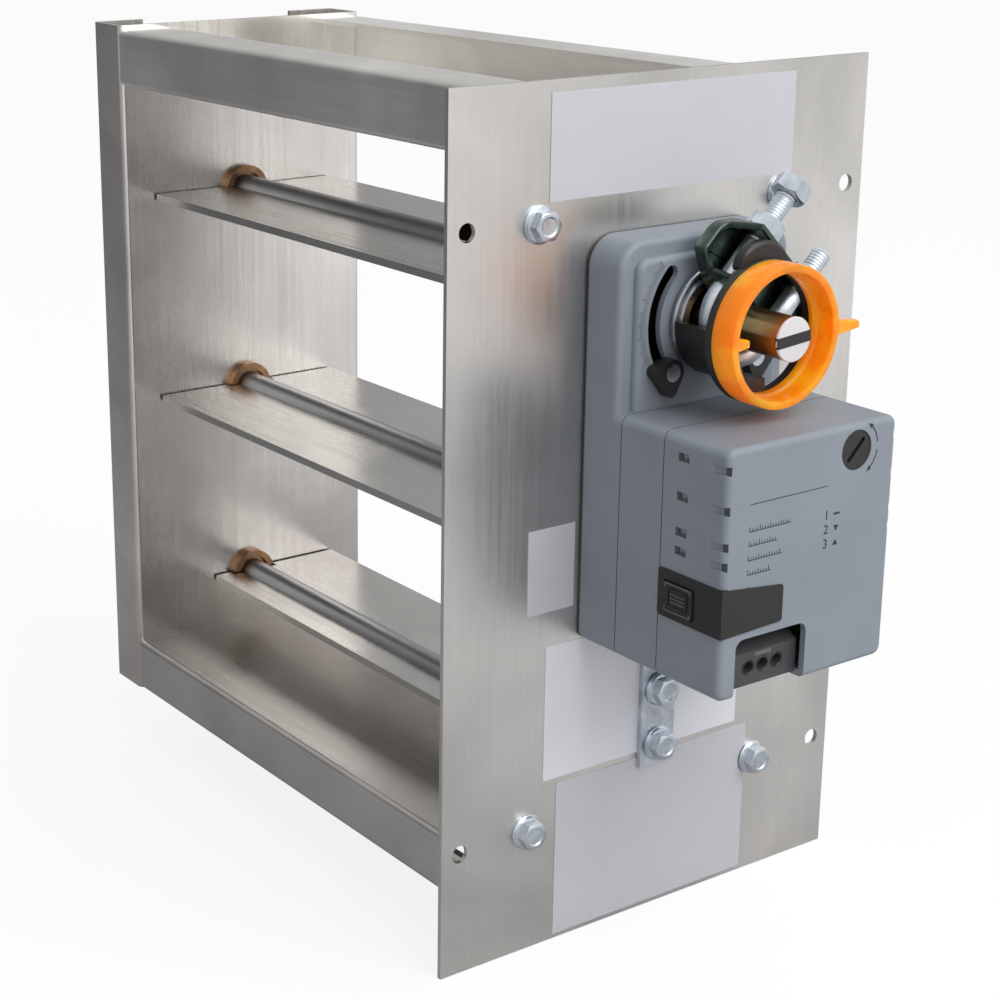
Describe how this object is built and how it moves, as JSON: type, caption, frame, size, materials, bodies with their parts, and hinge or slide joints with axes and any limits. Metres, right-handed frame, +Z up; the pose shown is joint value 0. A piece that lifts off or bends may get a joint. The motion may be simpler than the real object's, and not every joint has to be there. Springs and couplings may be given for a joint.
{
  "type": "volume control damper",
  "caption": "Aluminium duct damper frame with three parallel blades on shafts, linked to a rotary actuator on the motor plate.",
  "frame": {"origin": "centre of the four corner holes on the motor plate's back face", "axes": "+X out through the plate to the actuator, -Y out of the open face on the near side of the duct, +Z up"},
  "size_m": [0.2814, 0.161, 0.2685],
  "materials": {
    "frame_aluminium": "satin",
    "plate_aluminium": "satin",
    "blade_aluminium": "satin",
    "shaft_steel": "satin",
    "zinc_steel": "satin",
    "dark_zinc": "satin",
    "bronze": "satin",
    "spindle_brass": "satin",
    "label_film": "matte",
    "housing_grey": "matte",
    "black_plastic": "matte",
    "orange_plastic": "gloss",
    "gear_plastic": "matte",
    "board_green": "matte"
  },
  "bodies": {
    "frame": {"left_channel": "frame_aluminium", "top_channel": "frame_aluminium", "bottom_channel": "frame_aluminium", "right_channel": "frame_aluminium", "motor_plate": "plate_aluminium", "plate_bolts": "zinc_steel", "strap_bolts": "zinc_steel", "plate_nuts": "zinc_steel", "left_bushings": "bronze", "right_bushings": "bronze", "jackshaft_bushings": "bronze", "anti_rotation_strap": "zinc_steel", "label_upper": "label_film", "label_side": "label_film", "label_middle": "label_film", "label_lower": "label_film", "actuator_base": "housing_grey", "gear_case": "housing_grey", "block_body": "housing_grey", "block_cover": "housing_grey", "release_bezel": "black_plastic", "circuit_board": "board_green", "terminal_socket": "black_plastic", "motor": "zinc_steel", "gear_axles": "shaft_steel"},
    "drive": {"jackshaft": "spindle_brass", "drive_crank": "zinc_steel", "drive_pin": "zinc_steel", "output_gear": "black_plastic", "clamp_seat": "zinc_steel", "clamp_jaw": "dark_zinc", "clamp_nuts": "zinc_steel", "u_bolt": "zinc_steel", "indicator_carrier": "black_plastic", "indicator_ring": "orange_plastic"},
    "tie_bar_body": {"tie_bar": "zinc_steel"},
    "second_gear_body": {"second_gear": "gear_plastic"},
    "first_gear_body": {"first_gear": "gear_plastic"},
    "motor_pinion_body": {"motor_pinion": "shaft_steel"},
    "button": {"release_button": "black_plastic"},
    "dial": {"direction_dial": "black_plastic"},
    "stop_left": {"end_stop_left": "black_plastic", "stop_screw_left": "zinc_steel"},
    "stop_right": {"end_stop_right": "black_plastic", "stop_screw_right": "zinc_steel"},
    "blade_top_body": {"blade_top": "blade_aluminium", "blade_shaft_top": "shaft_steel", "shaft_clip_top": "zinc_steel", "crank_top": "zinc_steel", "crank_pin_top": "zinc_steel"},
    "blade_middle_body": {"blade_middle": "blade_aluminium", "blade_shaft_middle": "shaft_steel", "shaft_clip_middle": "zinc_steel", "crank_middle": "zinc_steel", "crank_pin_middle": "zinc_steel"},
    "blade_bottom_body": {"blade_bottom": "blade_aluminium", "blade_shaft_bottom": "shaft_steel", "shaft_clip_bottom": "zinc_steel", "crank_bottom": "zinc_steel", "crank_pin_bottom": "zinc_steel"}
  },
  "joints": [
    {"name": "drive_turn", "type": "hinge", "parent": "frame", "child": "drive", "pos_m": [0, 0.002, 0.0635], "axis": [1, 0, 0], "range_deg": [0, 90]},
    {"name": "blade_top_turn", "type": "hinge", "parent": "frame", "child": "blade_top_body", "pos_m": [0, -0.0235, 0.0742], "axis": [1, 0, 0], "range_deg": [0, 90]},
    {"name": "blade_middle_turn", "type": "hinge", "parent": "frame", "child": "blade_middle_body", "pos_m": [0, -0.0235, 0], "axis": [1, 0, 0], "range_deg": [0, 90]},
    {"name": "blade_bottom_turn", "type": "hinge", "parent": "frame", "child": "blade_bottom_body", "pos_m": [0, -0.0235, -0.0742], "axis": [1, 0, 0], "range_deg": [0, 90]},
    {"name": "tie_bar_swing", "type": "hinge", "parent": "drive", "child": "tie_bar_body", "pos_m": [0, -0.00719, 0.07269], "axis": [1, 0, 0], "range_deg": [-90, 0]},
    {"name": "second_gear_spin", "type": "hinge", "parent": "frame", "child": "second_gear_body", "pos_m": [0, 0.002, 0.0365], "axis": [1, 0, 0], "range_deg": [-315, 0]},
    {"name": "first_gear_spin", "type": "hinge", "parent": "frame", "child": "first_gear_body", "pos_m": [0, 0.002, 0.0185], "axis": [1, 0, 0], "range_deg": [0, 630]},
    {"name": "motor_pinion_spin", "type": "hinge", "parent": "frame", "child": "motor_pinion_body", "pos_m": [0, 0.002, 0.0045], "axis": [1, 0, 0], "range_deg": [-1134, 0]},
    {"name": "button_press", "type": "slide", "parent": "frame", "child": "button", "axis": [0, 1, 0], "range_m": [0, 0.003], "stiffness_N_per_m": 200},
    {"name": "dial_turn", "type": "hinge", "parent": "frame", "child": "dial", "pos_m": [0, 0.0192, 0.0311], "axis": [1, 0, 0], "range_deg": [0, 90]},
    {"name": "stop_left_shift", "type": "hinge", "parent": "frame", "child": "stop_left", "pos_m": [0, 0.002, 0.0635], "axis": [1, 0, 0], "range_deg": [-78, 0]},
    {"name": "stop_right_shift", "type": "hinge", "parent": "frame", "child": "stop_right", "pos_m": [0, 0.002, 0.0635], "axis": [1, 0, 0], "range_deg": [0, 78]}
  ],
  "couplings": [
    {"joint": "blade_top_turn", "follows": "drive_turn", "ratio": 1},
    {"joint": "blade_middle_turn", "follows": "drive_turn", "ratio": 1},
    {"joint": "blade_bottom_turn", "follows": "drive_turn", "ratio": 1},
    {"joint": "tie_bar_swing", "follows": "drive_turn", "ratio": -1},
    {"joint": "second_gear_spin", "follows": "drive_turn", "ratio": -3.5},
    {"joint": "first_gear_spin", "follows": "drive_turn", "ratio": 7},
    {"joint": "motor_pinion_spin", "follows": "drive_turn", "ratio": -12.6}
  ]
}
